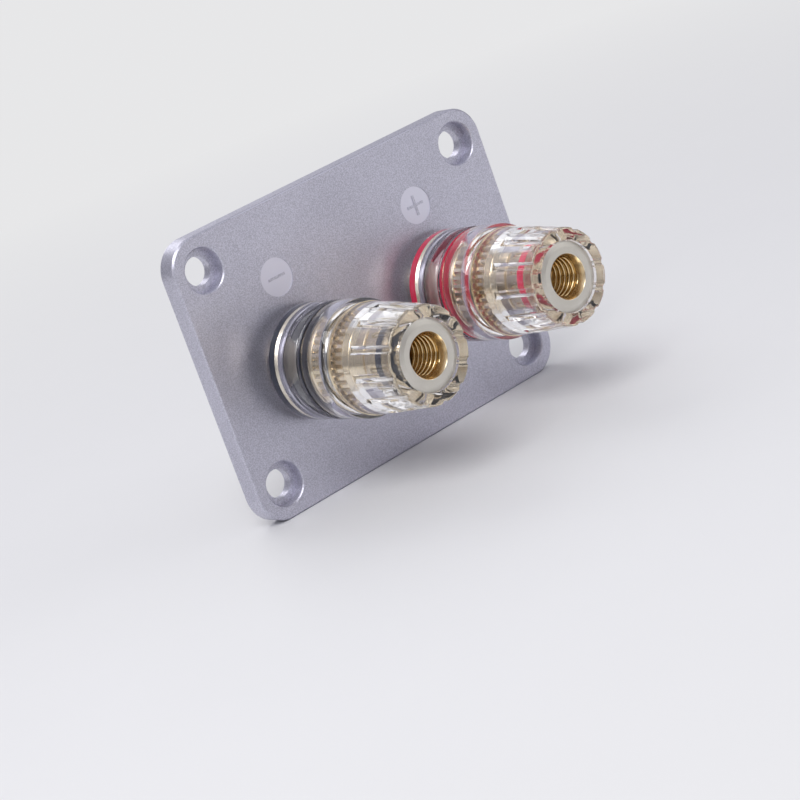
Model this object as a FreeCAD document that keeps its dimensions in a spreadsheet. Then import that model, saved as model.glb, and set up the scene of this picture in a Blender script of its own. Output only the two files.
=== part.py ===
"""A speaker terminal plate: an aluminium plate with two clear binding posts.

Lengths are in millimetres. The origin is the centre of the plate's back face, +X is to the
right seen from the front, +Z is up, and the posts stand out of the front towards -Y.
Each piece of a post is drawn on its own axis, from its rear end forwards, and then placed.
"""
import FreeCAD, Part
import math
import os

import Sketcher

# The driving dimensions, one value each.
SIZES = {
    # the plate
    "plate_width": 78.0,
    "plate_height": 56.0,
    "plate_thick": 4.0,
    "corner_radius": 6.2,
    "edge_bevel": 0.35,
    "screw_inset": 6.65,
    "screw_hole_dia": 5.5,
    "screw_head_dia": 8.4,
    "screw_head_depth": 2.2,
    "screw_rim_bevel": 0.2,
    # the two polarity discs
    "disc_dia": 7.3,
    "disc_rise": 14.1,
    "disc_depth": 0.12,
    "sign_length": 4.0,
    "sign_width": 0.55,
    # where the posts stand
    "post_spacing": 36.0,
    "post_drop": 2.8,
    "spigot_dia": 11.8,
    "spigot_clear": 0.1,
    # the clear base
    "base_dia": 22.0,
    "foot_drop": 1.1,
    "foot_thick": 1.7,
    "foot_bevel": 0.6,
    "base_length": 12.0,
    "base_rim_bevel": 0.35,
    "spigot_length": 3.6,
    "floor_thick": 2.4,
    "colour_ring_start": 3.1,
    "colour_ring_width": 1.6,
    "colour_ring_depth": 2.0,
    # the stud
    "thread_dia": 8.0,
    "thread_clear": 0.05,
    "collar_dia": 14.0,
    "collar_clear": 0.05,
    "spacer_width": 2.6,
    "spacer_seam": 0.2,
    "front_thread_dia": 7.5,
    "stud_reach": 25.5,
    "banana_dia": 4.0,
    "banana_depth": 18.0,
    "banana_bevel": 0.5,
    "wire_hole_dia": 2.6,
    "wire_hole_station": 14.4,
    "rear_length": 21.0,
    "pilot_length": 6.0,
    "pilot_dia": 6.6,
    "tip_bevel": 0.5,
    # the turning knob
    "clamp_ring_width": 0.3,
    "clamp_ring_drop": 0.2,
    "clamp_ring_clear": 0.25,
    "knob_length": 24.2,
    "sleeve_dia": 12.4,
    "sleeve_fit": 0.05,
    "hub_drop": 1.8,
    "hub_width": 0.8,
    "knurl_height": 0.4,
    "knurl_start": 2.4,
    "knurl_width": 2.5,
    "land_width": 2.0,
    "second_knurl_width": 4.2,
    "sleeve_groove_start": 14.9,
    "sleeve_groove_width": 0.6,
    "sleeve_groove_depth": 0.35,
    "knob_ring_start": 18.35,
    "knob_ring_width": 1.6,
    "knob_ring_depth": 0.6,
    "end_flange_dia": 13.4,
    "end_flange_width": 1.5,
    "end_recess": 0.2,
    "mouth_dia": 8.7,
    "mouth_depth": 0.7,
    # the clear shroud of the knob
    "shroud_wall": 2.15,
    "lip_bevel": 0.5,
    "lip_bevel_length": 0.9,
    "hand_part_length": 6.3,
    "step_length": 1.4,
    "notch_depth": 0.9,
    "gold_band_start": 7.9,
    "gold_band_width": 0.5,
    "gold_band_drop": 0.6,
    "gold_band_depth": 0.8,
    "body_drop": 0.65,
    "shoulder_drop": 1.0,
    "flute_start": 14.2,
    "front_drop": 1.85,
    "rim_bevel": 0.4,
    "flute_count": 12,
    "flute_radius": 0.9,
    "flute_depth": 0.4,
    # behind the plate
    "bush_dia": 16.0,
    "bush_width": 3.0,
    "washer_dia": 15.0,
    "washer_width": 1.0,
    "spring_dia": 13.6,
    "spring_width": 1.6,
    "spring_slit": 0.8,
    "nut_flats": 13.0,
    "nut_width": 5.0,
    "nut_bevel": 0.6,
}

SHEET_NAME = "Sizes"
POST_SIDES = {"black": -1, "red": 1}
QUARTER_TURN = 90.0


class Size:
    """A length worked out from the sheet: its number, and the expression that gives it."""

    def __init__(self, number, text):
        self.number = float(number)
        self.text = text

    def _with(self, other, sign, number):
        text = other.text if isinstance(other, Size) else repr(float(other))
        return Size(number, f"({self.text} {sign} {text})")

    def __add__(self, other):
        return self._with(other, "+", self.number + value(other))

    def __sub__(self, other):
        return self._with(other, "-", self.number - value(other))

    def __mul__(self, other):
        return self._with(other, "*", self.number * value(other))

    def __truediv__(self, other):
        return self._with(other, "/", self.number / value(other))

    def __neg__(self):
        return Size(-self.number, f"(0 - {self.text})")


def value(length):
    """The plain number of a Size or of a number."""
    return length.number if isinstance(length, Size) else float(length)


doc = FreeCAD.newDocument("SpeakerTerminalPlate")
sheet = doc.addObject("Spreadsheet::Sheet", SHEET_NAME)
for row, (alias, number) in enumerate(SIZES.items(), start=1):
    sheet.set(f"A{row}", alias.replace("_", " "))
    sheet.set(f"B{row}", str(number))
    sheet.setAlias(f"B{row}", alias)
doc.recompute()


def size(alias):
    """The sheet's value of that alias, as a Size."""
    return Size(sheet.get(alias), f"{SHEET_NAME}.{alias}")


ZERO = Size(0.0, "0")

# Stations that several pieces share, measured forwards from the plate's front face.
collar_start = size("floor_thick") + size("spacer_width") + size("spacer_seam")
knob_start = size("base_length") + size("clamp_ring_width")
rear_face = -size("plate_thick")
pocket_radius = size("collar_dia") / 2 + size("collar_clear")
post_radius = size("base_dia") / 2
band_radius = post_radius - size("gold_band_drop")
front_radius = post_radius - size("front_drop")
sleeve_radius = size("sleeve_dia") / 2
shroud_bore = post_radius - size("shroud_wall")
knurl_radius = shroud_bore - size("sleeve_fit")
land_radius = knurl_radius - size("knurl_height")
neck_radius = size("thread_dia") / 2 + size("thread_clear")
knurl_end = size("knurl_start") + size("knurl_width")
second_knurl_start = knurl_end + size("land_width")
second_knurl_end = second_knurl_start + size("second_knurl_width")
sleeve_length = size("knob_length") - size("end_recess")
flange_start = sleeve_length - size("end_flange_width")


def new_body(label):
    """An empty body with its label."""
    body = doc.addObject("PartDesign::Body", label)
    body.Label = label
    return body


def plane_of(body, role):
    """One of the body's own origin planes or axes."""
    return next(part for part in body.Origin.OriginFeatures if part.Role == role)


def new_sketch(body, name, role, lift=None):
    """A sketch on an origin plane, lifted along the plane's normal where that is asked."""
    sketch = body.newObject("Sketcher::SketchObject", name)
    sketch.AttachmentSupport = [(plane_of(body, role), "")]
    sketch.MapMode = "FlatFace"
    if lift is not None:
        sketch.AttachmentOffset = FreeCAD.Placement(
            FreeCAD.Vector(0, 0, value(lift)), FreeCAD.Rotation())
        sketch.setExpression("AttachmentOffset.Base.z", lift.text)
    return sketch


def hold(sketch, kind, length, *places):
    """One dimension of a sketch, bound to the sheet."""
    index = sketch.addConstraint(Sketcher.Constraint(kind, *places, value(length)))
    name = f"{kind}{index}"
    sketch.renameConstraint(index, name)
    sketch.setExpression(f"Constraints.{name}", length.text)


def hold_point(sketch, line, across, along):
    """Holds the start of a line at its two distances from the sketch's origin."""
    origin = (-1, 1)
    vertical_axis = -2
    horizontal_axis = -1
    if across is ZERO:
        sketch.addConstraint(Sketcher.Constraint("PointOnObject", line, 1, vertical_axis))
    else:
        hold(sketch, "DistanceX", across, *origin, line, 1)
    if along is ZERO:
        sketch.addConstraint(Sketcher.Constraint("PointOnObject", line, 1, horizontal_axis))
    else:
        hold(sketch, "DistanceY", along, *origin, line, 1)


def draw_outline(sketch, corners):
    """A closed outline of straight lines through corners given as (across, along)."""
    points = [FreeCAD.Vector(value(across), value(along), 0) for across, along in corners]
    first = sketch.GeometryCount
    count = len(points)
    for index in range(count):
        line = Part.LineSegment(points[index], points[(index + 1) % count])
        sketch.addGeometry(line, False)
    for index in range(count):
        following = first + (index + 1) % count
        sketch.addConstraint(Sketcher.Constraint("Coincident", first + index, 2, following, 1))
    for index, (across, along) in enumerate(corners):
        hold_point(sketch, first + index, across, along)


def draw_circle(sketch, across, along, radius):
    """A circle with its centre and radius bound to the sheet."""
    centre = FreeCAD.Vector(value(across), value(along), 0)
    index = sketch.addGeometry(
        Part.Circle(centre, FreeCAD.Vector(0, 0, 1), value(radius)), False)
    hold(sketch, "Radius", radius, index)
    if across is ZERO and along is ZERO:
        sketch.addConstraint(Sketcher.Constraint("Coincident", index, 3, -1, 1))
        return
    if across is ZERO:
        sketch.addConstraint(Sketcher.Constraint("PointOnObject", index, 3, -2))
    else:
        hold(sketch, "DistanceX", across, -1, 1, index, 3)
    if along is ZERO:
        sketch.addConstraint(Sketcher.Constraint("PointOnObject", index, 3, -1))
    else:
        hold(sketch, "DistanceY", along, -1, 1, index, 3)


def turn(label, corners):
    """A turned piece: its half section, as (radius, station) corners, about its axis."""
    body = new_body(label)
    sketch = new_sketch(body, f"{label}_section", "XZ_Plane")
    draw_outline(sketch, corners)
    turned = body.newObject("PartDesign::Revolution", f"{label}_turned")
    turned.Profile = sketch
    turned.ReferenceAxis = (sketch, ["V_Axis"])
    turned.Angle = 360.0
    body.Tip = turned
    doc.recompute()
    return body


def cut(body, name, sketch, depth=None, symmetric=False):
    """A pocket from a sketch into the body, right through where no depth is given."""
    before = body.Shape.Volume
    pocket = body.newObject("PartDesign::Pocket", name)
    pocket.Profile = sketch
    if depth is None:
        pocket.Type = "ThroughAll"
    else:
        pocket.Length = value(depth)
        pocket.setExpression("Length", depth.text)
    pocket.Midplane = symmetric
    body.Tip = pocket
    doc.recompute()
    if not body.Shape.Volume < before:
        raise RuntimeError(f"{name} cuts nothing")
    return pocket


def edges_where(shape, test):
    """The names of the edges of a shape that pass a test."""
    return [f"Edge{index}" for index, edge in enumerate(shape.Edges, start=1) if test(edge)]


def bevel(body, name, base, edges, width):
    """A bevel along edges of the body's last feature."""
    feature = body.newObject("PartDesign::Chamfer", name)
    feature.Base = (base, edges)
    feature.Size = value(width)
    feature.setExpression("Size", width.text)
    body.Tip = feature
    doc.recompute()
    return feature


def place(body, side, station, quarter_turns=1):
    """Stands a post's piece at its post, with its rear end at a station in front."""
    across = size("post_spacing") / 2 * side
    forward = -(size("plate_thick") + station)
    upward = -size("post_drop")
    body.Placement = FreeCAD.Placement(
        FreeCAD.Vector(value(across), value(forward), value(upward)),
        FreeCAD.Rotation(FreeCAD.Vector(1, 0, 0), QUARTER_TURN * quarter_turns))
    body.setExpression("Placement.Base.x", across.text)
    body.setExpression("Placement.Base.y", forward.text)
    body.setExpression("Placement.Base.z", upward.text)


def lies_at_y(edge, level):
    """Whether an edge lies in the plane at that y."""
    box = edge.BoundBox
    return abs(box.YMin - level) < 1e-6 and abs(box.YMax - level) < 1e-6


def make_plate():
    """The plate with its screw holes, post holes and polarity discs."""
    body = new_body("plate")
    half_width = size("plate_width") / 2
    half_height = size("plate_height") / 2
    outline = new_sketch(body, "plate_outline", "XZ_Plane")
    draw_outline(outline, [
        (-half_width, -half_height), (half_width, -half_height),
        (half_width, half_height), (-half_width, half_height)])
    pad = body.newObject("PartDesign::Pad", "plate_blank")
    pad.Profile = outline
    pad.Length = value(size("plate_thick"))
    pad.setExpression("Length", size("plate_thick").text)
    body.Tip = pad
    doc.recompute()
    if pad.Shape.BoundBox.YMin > -value(size("plate_thick")) / 2:
        pad.Reversed = True
        doc.recompute()

    corners = body.newObject("PartDesign::Fillet", "plate_corners")
    corners.Base = (pad, edges_where(pad.Shape, lambda edge: edge.BoundBox.YLength > 1.0))
    corners.Radius = value(size("corner_radius"))
    corners.setExpression("Radius", size("corner_radius").text)
    body.Tip = corners
    doc.recompute()

    front = -value(size("plate_thick"))
    rim = edges_where(corners.Shape, lambda edge: lies_at_y(edge, front))
    bevel(body, "plate_front_bevel", corners, rim, size("edge_bevel"))

    screw_across = half_width - size("screw_inset")
    screw_up = half_height - size("screw_inset")
    screw_places = [(screw_across * side, screw_up * level) for side in (-1, 1) for level in (-1, 1)]
    holes = new_sketch(body, "screw_hole_circles", "XZ_Plane", size("plate_thick"))
    for across, along in screw_places:
        draw_circle(holes, across, along, size("screw_hole_dia") / 2)
    cut(body, "screw_holes", holes)
    heads = new_sketch(body, "screw_head_circles", "XZ_Plane", size("plate_thick"))
    for across, along in screw_places:
        draw_circle(heads, across, along, size("screw_head_dia") / 2)
    sunk = cut(body, "screw_heads", heads, size("screw_head_depth"))

    head_radius = value(size("screw_head_dia") / 2)

    def is_head_rim(edge):
        return (lies_at_y(edge, front) and hasattr(edge.Curve, "Radius")
                and abs(edge.Curve.Radius - head_radius) < 1e-6)

    bevel(body, "screw_head_bevels", sunk, edges_where(sunk.Shape, is_head_rim),
          size("screw_rim_bevel"))

    posts = new_sketch(body, "post_hole_circles", "XZ_Plane", size("plate_thick"))
    for side in POST_SIDES.values():
        draw_circle(posts, size("post_spacing") / 2 * side, -size("post_drop"),
                    size("spigot_dia") / 2 + size("spigot_clear"))
    cut(body, "post_holes", posts)

    for name, side in POST_SIDES.items():
        disc = new_sketch(body, f"{name}_disc", "XZ_Plane", size("plate_thick"))
        middle = size("post_spacing") / 2 * side
        draw_circle(disc, middle, size("disc_rise"), size("disc_dia") / 2)
        draw_outline(disc, sign_corners(middle, size("disc_rise"), plus=side > 0))
        cut(body, f"{name}_sign", disc, size("disc_depth"))
    return body


def sign_corners(middle, level, plus):
    """The outline of a plus or a minus about its middle."""
    half_length = size("sign_length") / 2
    half_width = size("sign_width") / 2
    left = middle - half_length
    right = middle + half_length
    low = level - half_width
    high = level + half_width
    if not plus:
        return [(left, low), (right, low), (right, high), (left, high)]
    inner_left = middle - half_width
    inner_right = middle + half_width
    bottom = level - half_length
    top = level + half_length
    return [
        (inner_left, bottom), (inner_right, bottom), (inner_right, low), (right, low),
        (right, high), (inner_right, high), (inner_right, top), (inner_left, top),
        (inner_left, high), (left, high), (left, low), (inner_left, low)]


def make_base(label):
    """The clear base: a spigot through the plate, a foot, a grooved body and a deep pocket."""
    spigot = size("spigot_length")
    foot = spigot + size("foot_thick")
    shoulder = foot + size("foot_bevel")
    groove = spigot + size("colour_ring_start")
    groove_end = groove + size("colour_ring_width")
    length = spigot + size("base_length")
    radius = post_radius
    foot_radius = radius - size("foot_drop")
    groove_radius = radius - size("colour_ring_depth")
    return turn(label, [
        (neck_radius, ZERO),
        (size("spigot_dia") / 2, ZERO),
        (size("spigot_dia") / 2, spigot),
        (foot_radius, spigot),
        (foot_radius, foot),
        (radius, shoulder),
        (radius, groove),
        (groove_radius, groove),
        (groove_radius, groove_end),
        (radius, groove_end),
        (radius, length - size("base_rim_bevel")),
        (radius - size("base_rim_bevel"), length),
        (pocket_radius, length),
        (pocket_radius, spigot + size("floor_thick")),
        (neck_radius, spigot + size("floor_thick")),
    ])


def make_ring(label, inner, outer, width):
    """A plain ring."""
    return turn(label, [(inner, ZERO), (outer, ZERO), (outer, width), (inner, width)])


def make_stud(label):
    """The stud: smooth pilot, rear thread, collar and the front thread with its bores."""
    rear = size("rear_length") + size("plate_thick")
    collar = rear + collar_start
    collar_end = rear + knob_start
    length = rear + size("stud_reach")
    thread = size("thread_dia") / 2
    front_thread = size("front_thread_dia") / 2
    pilot = size("pilot_dia") / 2
    bore = size("banana_dia") / 2
    tip = size("tip_bevel")
    body = turn(label, [
        (ZERO, ZERO),
        (pilot - tip, ZERO),
        (pilot, tip),
        (pilot, size("pilot_length")),
        (thread, size("pilot_length") + (thread - pilot)),
        (thread, collar),
        (size("collar_dia") / 2, collar),
        (size("collar_dia") / 2, collar_end),
        (front_thread, collar_end),
        (front_thread, length - tip),
        (front_thread - tip, length),
        (bore + size("banana_bevel"), length),
        (bore, length - size("banana_bevel")),
        (bore, length - size("banana_depth")),
        (ZERO, length - size("banana_depth")),
    ])
    wire = new_sketch(body, f"{label}_wire_circle", "YZ_Plane")
    draw_circle(wire, ZERO, rear + size("wire_hole_station"), size("wire_hole_dia") / 2)
    cut(body, f"{label}_wire_hole", wire, size("thread_dia") * 2, symmetric=True)
    return body


def make_sleeve(label):
    """The knob's threaded sleeve: a wide head with two raised bands, then a slim front part.

    The slim part has a groove, a ring seat and an end flange with the mouth of the bore.
    """
    bore = size("front_thread_dia") / 2 + size("thread_clear")
    groove = size("sleeve_groove_start")
    groove_end = groove + size("sleeve_groove_width")
    seat = size("knob_ring_start")
    seat_end = seat + size("knob_ring_width")
    seat_radius = sleeve_radius - size("knob_ring_depth")
    groove_radius = sleeve_radius - size("sleeve_groove_depth")
    return turn(label, [
        (bore, ZERO),
        (knurl_radius - size("hub_drop"), ZERO),
        (knurl_radius - size("hub_drop"), size("hub_width")),
        (land_radius, size("hub_width")),
        (land_radius, size("knurl_start")),
        (knurl_radius, size("knurl_start")),
        (knurl_radius, knurl_end),
        (land_radius, knurl_end),
        (land_radius, second_knurl_start),
        (knurl_radius, second_knurl_start),
        (knurl_radius, second_knurl_end),
        (sleeve_radius, second_knurl_end),
        (sleeve_radius, groove),
        (groove_radius, groove),
        (groove_radius, groove_end),
        (sleeve_radius, groove_end),
        (sleeve_radius, seat),
        (seat_radius, seat),
        (seat_radius, seat_end),
        (sleeve_radius, seat_end),
        (sleeve_radius, flange_start),
        (size("end_flange_dia") / 2, flange_start),
        (size("end_flange_dia") / 2, sleeve_length),
        (size("mouth_dia") / 2, sleeve_length),
        (bore, sleeve_length - size("mouth_depth")),
    ])


def make_shroud(label, first_flute):
    """The knob's clear shroud: a hand part, a notch, a tapered body and a fluted front."""
    hand_end = size("hand_part_length")
    notch = hand_end + size("step_length")
    band = size("gold_band_start")
    band_end = band + size("gold_band_width")
    band_floor = band_radius - size("gold_band_depth")
    length = size("knob_length")
    slim_bore = sleeve_radius + size("sleeve_fit")
    bore_end = second_knurl_end + size("sleeve_fit")
    flange_bore = size("end_flange_dia") / 2 + size("sleeve_fit")
    notch_radius = post_radius - size("notch_depth")
    shoulder_radius = post_radius - size("shoulder_drop")
    body = turn(label, [
        (shroud_bore, ZERO),
        (post_radius - size("lip_bevel"), ZERO),
        (post_radius, size("lip_bevel_length")),
        (post_radius, hand_end),
        (notch_radius, notch),
        (notch_radius, band),
        (band_floor, band),
        (band_floor, band_end),
        (post_radius - size("body_drop"), band_end),
        (shoulder_radius, size("flute_start")),
        (front_radius, length - size("rim_bevel")),
        (front_radius - size("rim_bevel"), length),
        (flange_bore, length),
        (flange_bore, flange_start - size("sleeve_fit")),
        (slim_bore, flange_start - size("sleeve_fit")),
        (slim_bore, bore_end),
        (shroud_bore, bore_end),
    ])
    before = body.Shape.Volume
    distance = shoulder_radius - size("flute_depth") + size("flute_radius")
    taper = (shoulder_radius - front_radius) / (length - size("rim_bevel") - size("flute_start"))
    lean = math.degrees(math.atan(value(taper)))
    flute = new_sketch(body, f"{label}_flute_circle", "XY_Plane",
                       size("flute_start") - distance * taper)
    draw_circle(flute, ZERO, distance, size("flute_radius"))
    along_flute = FreeCAD.Rotation(FreeCAD.Vector(1, 0, 0), lean)
    flute.AttachmentOffset = FreeCAD.Placement(
        flute.AttachmentOffset.Base,
        FreeCAD.Rotation(FreeCAD.Vector(0, 0, 1), first_flute) * along_flute)
    single = body.newObject("PartDesign::Pocket", f"{label}_flute")
    single.Profile = flute
    single.Length = value(length)
    single.setExpression("Length", length.text)
    single.Reversed = True
    body.Tip = single
    doc.recompute()
    pattern = body.newObject("PartDesign::PolarPattern", f"{label}_flutes")
    pattern.Originals = [single]
    pattern.Axis = (plane_of(body, "Z_Axis"), [""])
    pattern.Angle = 360.0
    pattern.Occurrences = int(value(size("flute_count")))
    pattern.setExpression("Occurrences", size("flute_count").text)
    body.Tip = pattern
    doc.recompute()
    if not body.Shape.Volume < before:
        raise RuntimeError(f"{label} has no flutes")
    return body


def make_nut(label):
    """A hexagon nut with bevelled corners."""
    body = new_body(label)
    across_corners = size("nut_flats") / math.cos(math.pi / 6)
    radius = across_corners / 2
    face = radius - size("nut_bevel")
    width = size("nut_width")
    bevel_rise = size("nut_bevel") * math.tan(math.pi / 6)
    section = new_sketch(body, f"{label}_section", "XZ_Plane")
    draw_outline(section, [
        (neck_radius, ZERO), (face, ZERO), (radius, bevel_rise),
        (radius, width - bevel_rise), (face, width), (neck_radius, width)])
    turned = body.newObject("PartDesign::Revolution", f"{label}_turned")
    turned.Profile = section
    turned.ReferenceAxis = (section, ["V_Axis"])
    turned.Angle = 360.0
    body.Tip = turned
    doc.recompute()
    flats = new_sketch(body, f"{label}_flat_sketch", "XY_Plane")
    near = size("nut_flats") / 2
    draw_outline(flats, [
        (-radius, near), (radius, near), (radius, near * 2), (-radius, near * 2)])
    flat = cut(body, f"{label}_flat", flats, width * 2, symmetric=True)
    pattern = body.newObject("PartDesign::PolarPattern", f"{label}_flats")
    pattern.Originals = [flat]
    pattern.Axis = (flats, ["N_Axis"])
    pattern.Angle = 360.0
    pattern.Occurrences = 6
    body.Tip = pattern
    doc.recompute()
    return body


def make_spring_washer(label):
    """A spring washer with its slit."""
    body = make_ring(label, neck_radius, size("spring_dia") / 2, size("spring_width"))
    slit = new_sketch(body, f"{label}_slit_sketch", "XY_Plane")
    half = size("spring_slit") / 2
    draw_outline(slit, [
        (-half, ZERO), (half, ZERO), (half, size("spring_dia")), (-half, size("spring_dia"))])
    cut(body, f"{label}_slit", slit, size("spring_width") * 2, symmetric=True)
    return body


def make_post(name, side):
    """All the pieces of one binding post, from its stud to its rear nut."""
    pieces = []

    def add(body, station):
        place(body, side, station)
        pieces.append(body)

    add(make_stud(f"{name}_stud"), -(size("rear_length") + size("plate_thick")))
    add(make_base(f"{name}_base"), -size("spigot_length"))
    add(make_ring(f"{name}_base_ring", post_radius - size("colour_ring_depth"), post_radius,
                  size("colour_ring_width")), size("colour_ring_start"))
    add(make_ring(f"{name}_spacer", neck_radius, size("collar_dia") / 2, size("spacer_width")),
        size("floor_thick"))
    add(make_ring(f"{name}_clamp_ring", pocket_radius + size("clamp_ring_clear"),
                  post_radius - size("clamp_ring_drop"), size("clamp_ring_width")),
        size("base_length"))
    add(make_sleeve(f"{name}_sleeve"), knob_start)
    first_flutes = {"black": 0.0, "red": 25.0}
    add(make_shroud(f"{name}_shroud", first_flutes[name]), knob_start)
    add(make_ring(f"{name}_knob_ring", sleeve_radius - size("knob_ring_depth"), sleeve_radius,
                  size("knob_ring_width")), knob_start + size("knob_ring_start"))
    add(make_ring(f"{name}_gold_band", band_radius - size("gold_band_depth"), band_radius,
                  size("gold_band_width")), knob_start + size("gold_band_start"))
    station = rear_face - size("bush_width")
    add(make_ring(f"{name}_bush", neck_radius, size("bush_dia") / 2, size("bush_width")), station)
    station = station - size("washer_width")
    add(make_ring(f"{name}_washer", neck_radius, size("washer_dia") / 2, size("washer_width")),
        station)
    station = station - size("spring_width")
    add(make_spring_washer(f"{name}_spring_washer"), station)
    station = station - size("nut_width")
    add(make_nut(f"{name}_nut"), station)
    return pieces


def check(pieces):
    """Stops if any object failed or any piece is not one valid solid."""
    for item in doc.Objects:
        if "Invalid" in item.State or "Error" in item.State:
            raise RuntimeError(f"{item.Name} failed: {item.State}")
    for piece in pieces:
        shape = piece.Shape
        if shape.isNull() or not shape.isValid() or len(shape.Solids) != 1:
            raise RuntimeError(f"{piece.Label} is not one valid solid")


def main():
    """Builds every piece and writes each one to its own file."""
    pieces = [make_plate()]
    for name, side in POST_SIDES.items():
        pieces += make_post(name, side)
    doc.recompute()
    check(pieces)
    os.makedirs("parts", exist_ok=True)
    for piece in pieces:
        piece.Shape.exportStep(os.path.join("parts", f"{piece.Label}.step"))
        box = piece.Shape.BoundBox
        print(f"{piece.Label}: volume {piece.Shape.Volume:.1f}, "
              f"x {box.XMin:.2f} to {box.XMax:.2f}, y {box.YMin:.2f} to {box.YMax:.2f}, "
              f"z {box.ZMin:.2f} to {box.ZMax:.2f}")


main()
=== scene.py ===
"""Looks of the speaker terminal plate: an anodised plate with two clear binding posts.

Lengths inside the classes are in millimetres. A post's own axis runs forwards from the plate's
front face, and its stations are counted along it.
"""

import logging
import math
from dataclasses import dataclass, field
from enum import Enum
from typing import Callable, Optional, Sequence

import bmesh
import bpy
from mathutils import Matrix, Vector

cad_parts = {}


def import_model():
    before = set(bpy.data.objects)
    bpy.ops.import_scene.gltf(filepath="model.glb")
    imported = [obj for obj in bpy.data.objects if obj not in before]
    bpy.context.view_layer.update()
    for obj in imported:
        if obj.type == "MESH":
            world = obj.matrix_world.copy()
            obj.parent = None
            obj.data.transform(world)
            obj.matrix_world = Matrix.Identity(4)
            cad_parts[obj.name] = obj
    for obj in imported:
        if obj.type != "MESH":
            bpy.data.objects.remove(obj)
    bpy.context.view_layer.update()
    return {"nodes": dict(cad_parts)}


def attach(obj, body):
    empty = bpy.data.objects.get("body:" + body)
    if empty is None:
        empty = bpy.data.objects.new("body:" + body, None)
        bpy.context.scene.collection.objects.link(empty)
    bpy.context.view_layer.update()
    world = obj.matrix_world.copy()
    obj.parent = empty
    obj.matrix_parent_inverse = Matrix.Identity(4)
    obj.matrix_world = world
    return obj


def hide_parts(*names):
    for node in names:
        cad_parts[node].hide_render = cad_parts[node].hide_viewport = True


log = logging.getLogger("terminal_plate")

MM = 0.001
PLATE_FACE = -4.0
POST_SPACING = 36.0
POST_DROP = 2.8
CREST_SHARE = 0.42

RGB = tuple[float, float, float]
Corner = tuple[float, float]


class Polarity(Enum):
    """Which post a piece belongs to."""

    BLACK = "black"
    RED = "red"

    @property
    def side(self) -> int:
        """-1 for the left post and 1 for the right one."""
        return -1 if self is Polarity.BLACK else 1


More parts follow.
